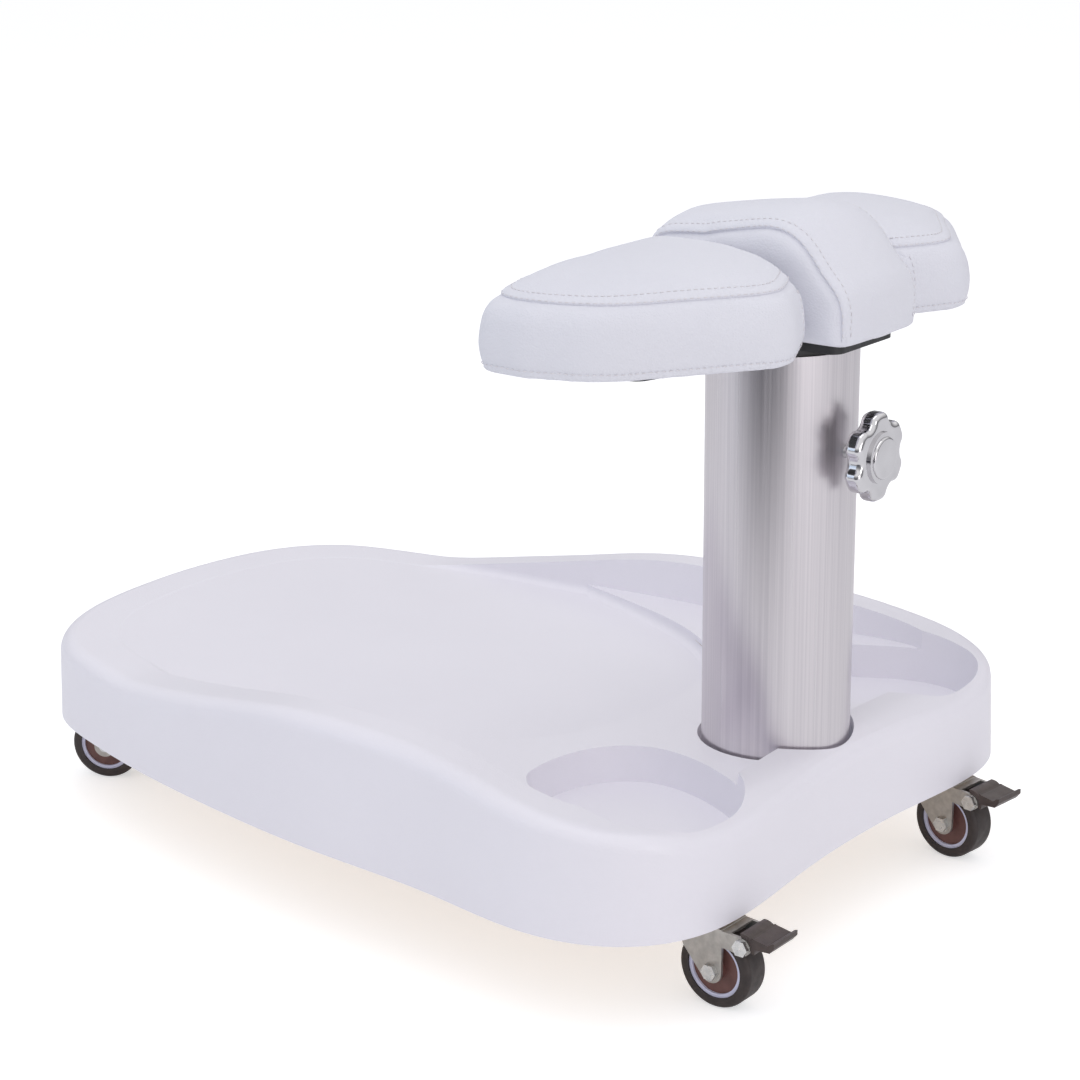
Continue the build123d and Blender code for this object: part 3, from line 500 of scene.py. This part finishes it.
# floor, light and camera
stage = {
    "floorSize": 14, "floorY": 2.0, "floorGlow": 0.34,
    # the next entries place, size and tint the painted dark reflection on the floor
    "paintedReflectionReach": 2.8, "paintedReflectionTurn": radians(-82), "paintedReflectionSize": 2.1, "paintedReflectionEdge": 0.3,
    "paintedReflectionColour": (0.05, 0.05, 0.065), "fill": 0.70, "fillColour": (0.96, 0.965, 1.0),
    "horizon": (0.08, 0.5), "wallTone": 0.25, "wallBlue": 1.04,
}
bpy.ops.mesh.primitive_plane_add(size=stage["floorSize"], location=(0, stage["floorY"], 0))
floor = bpy.context.object
floor.name = "floor"
floorWhite, tree, shader, place = newMaterial("floor_white")
shader.inputs["Roughness"].default_value = 0.9
shader.inputs["Specular IOR Level"].default_value = 0
shader.inputs["Emission Color"].default_value = (1, 1, 1, 1)
colourDrift(tree, place, shader, (0.955, 0.955, 0.955), (0.96, 0.96, 0.96), 2)
# the eye sees a slightly brighter floor, the object doesn't
rays = tree.nodes.new("ShaderNodeLightPath")
glow = tree.nodes.new("ShaderNodeMath")
glow.operation = "MULTIPLY"
glow.inputs[1].default_value = stage["floorGlow"]
tree.links.new(rays.outputs["Is Camera Ray"], glow.inputs[0])
tree.links.new(glow.outputs["Value"], shader.inputs["Emission Strength"])
# painted dark reflection: a patch of the floor that only glossy rays see, darkening the
# reflections in the metal parts
mapping = tree.nodes.new("ShaderNodeMapping")
paintedReflectionX = columnX + stage["paintedReflectionReach"] * cos(stage["paintedReflectionTurn"]) - floor.location.x
paintedReflectionY = stage["paintedReflectionReach"] * sin(stage["paintedReflectionTurn"]) - floor.location.y
wide = stage["paintedReflectionSize"]
mapping.inputs["Location"].default_value = (-paintedReflectionX / wide, -paintedReflectionY / wide, 0)
mapping.inputs["Scale"].default_value = (1 / wide, 1 / wide, 1)
spot = tree.nodes.new("ShaderNodeTexGradient")
spot.gradient_type = "SPHERICAL"
edge = tree.nodes.new("ShaderNodeMapRange")
edge.inputs["From Max"].default_value = stage["paintedReflectionEdge"]
only = tree.nodes.new("ShaderNodeMath")
only.operation = "MULTIPLY"
dark = tree.nodes.new("ShaderNodeEmission")
dark.inputs["Color"].default_value = (*stage["paintedReflectionColour"], 1)
both = tree.nodes.new("ShaderNodeMixShader")
tree.links.new(place.outputs["Object"], mapping.inputs["Vector"])
tree.links.new(mapping.outputs["Vector"], spot.inputs["Vector"])
tree.links.new(spot.outputs["Fac"], edge.inputs["Value"])
tree.links.new(edge.outputs["Result"], only.inputs[0])
tree.links.new(rays.outputs["Is Glossy Ray"], only.inputs[1])
tree.links.new(only.outputs["Value"], both.inputs["Fac"])
tree.links.new(shader.outputs["BSDF"], both.inputs[1])
tree.links.new(dark.outputs["Emission"], both.inputs[2])
tree.links.new(both.outputs["Shader"], tree.nodes["Material Output"].inputs["Surface"])
floor.data.materials.append(floorWhite)

world = bpy.data.worlds.new("studio")
scene.world = world
world.use_nodes = True
tree = world.node_tree
rays = tree.nodes.new("ShaderNodeLightPath")
fill = tree.nodes["Background"]
fill.inputs["Color"].default_value = (*stage["fillColour"], 1)
fill.inputs["Strength"].default_value = stage["fill"]
backdrop = tree.nodes.new("ShaderNodeBackground")
backdrop.inputs["Color"].default_value = (1, 1, 1, 1)
mirrored = tree.nodes.new("ShaderNodeBackground")
direction = tree.nodes.new("ShaderNodeTexCoord")
parts = tree.nodes.new("ShaderNodeSeparateXYZ")
heights = tree.nodes.new("ShaderNodeValToRGB")
wall, sky = heights.color_ramp.elements
wall.position, sky.position = stage["horizon"]
tone = stage["wallTone"]
wall.color = (tone, tone, tone * stage["wallBlue"], 1)
sky.color = (1, 1, 1, 1)
tree.links.new(direction.outputs["Generated"], parts.inputs["Vector"])
tree.links.new(parts.outputs["Z"], heights.inputs["Fac"])
tree.links.new(heights.outputs["Color"], mirrored.inputs["Color"])
gloss = tree.nodes.new("ShaderNodeMixShader")
tree.links.new(rays.outputs["Is Glossy Ray"], gloss.inputs["Fac"])
tree.links.new(fill.outputs["Background"], gloss.inputs[1])
tree.links.new(mirrored.outputs["Background"], gloss.inputs[2])
choose = tree.nodes.new("ShaderNodeMixShader")
tree.links.new(rays.outputs["Is Camera Ray"], choose.inputs["Fac"])
tree.links.new(gloss.outputs["Shader"], choose.inputs[1])
tree.links.new(backdrop.outputs["Background"], choose.inputs[2])
tree.links.new(choose.outputs["Shader"], tree.nodes["World Output"].inputs["Surface"])


lamps = {
    "top_light": {
        "place": (0.0, -0.3, 2.6), "aim": (0, 0, 0.1), "size": (2.2, 2.2),
        "power": 19, "colour": (1, 1, 1),
    },
    "left_light": {
        "place": (-1.7, -2.4, 0.8), "aim": (0, 0, 0.2), "size": (1.6, 1.4),
        "power": 6, "colour": (0.62, 0.79, 1.0),
    },
    "right_light": {
        "place": (2.6, -0.9, 0.7), "aim": (0.1, 0, 0.3), "size": (1.2, 1.2),
        "power": 11, "colour": (1.0, 0.96, 0.96),
    },
}
for name, lamp in lamps.items():
    light = bpy.data.lights.new(name, "AREA")
    light.shape = "RECTANGLE"
    light.size, light.size_y = lamp["size"]
    light.energy = lamp["power"]
    light.color = lamp["colour"]
    light.use_shadow = False  # with shadows the deck and trays came out too dark
    holder = bpy.data.objects.new(name, light)
    scene.collection.objects.link(holder)
    holder.location = lamp["place"]
    aim = Vector(lamp["aim"]) - Vector(lamp["place"])
    holder.rotation_euler = aim.to_track_quat("-Z", "Y").to_euler()


# view of the photo, a square picture
view = {
    "pastColumn": 0.8580, "y": -1.3388, "z": 0.7273,
    "pitchDown": 16.94, "heading": 38.02, "roll": -0.424,
    "focalPixels": 2661.4, "photoPixels": 1080, "sensor": 36, "clip": (0.01, 100),
}
cameraData = bpy.data.cameras.new("photo_camera")
cameraData.sensor_width = view["sensor"]
cameraData.lens = view["sensor"] * (view["focalPixels"] / view["photoPixels"])
cameraData.clip_start, cameraData.clip_end = view["clip"]
camera = bpy.data.objects.new("photo_camera", cameraData)
scene.collection.objects.link(camera)
turn = Euler((radians(90 - view["pitchDown"]), 0, radians(view["heading"]))).to_matrix()
turn = turn @ Matrix.Rotation(radians(view["roll"]), 3, "Z")
camera.location = (columnX + view["pastColumn"], view["y"], view["z"])
camera.rotation_euler = turn.to_euler()
scene.camera = camera
scene.view_settings.view_transform = "Standard"
print("stage, lights and camera")
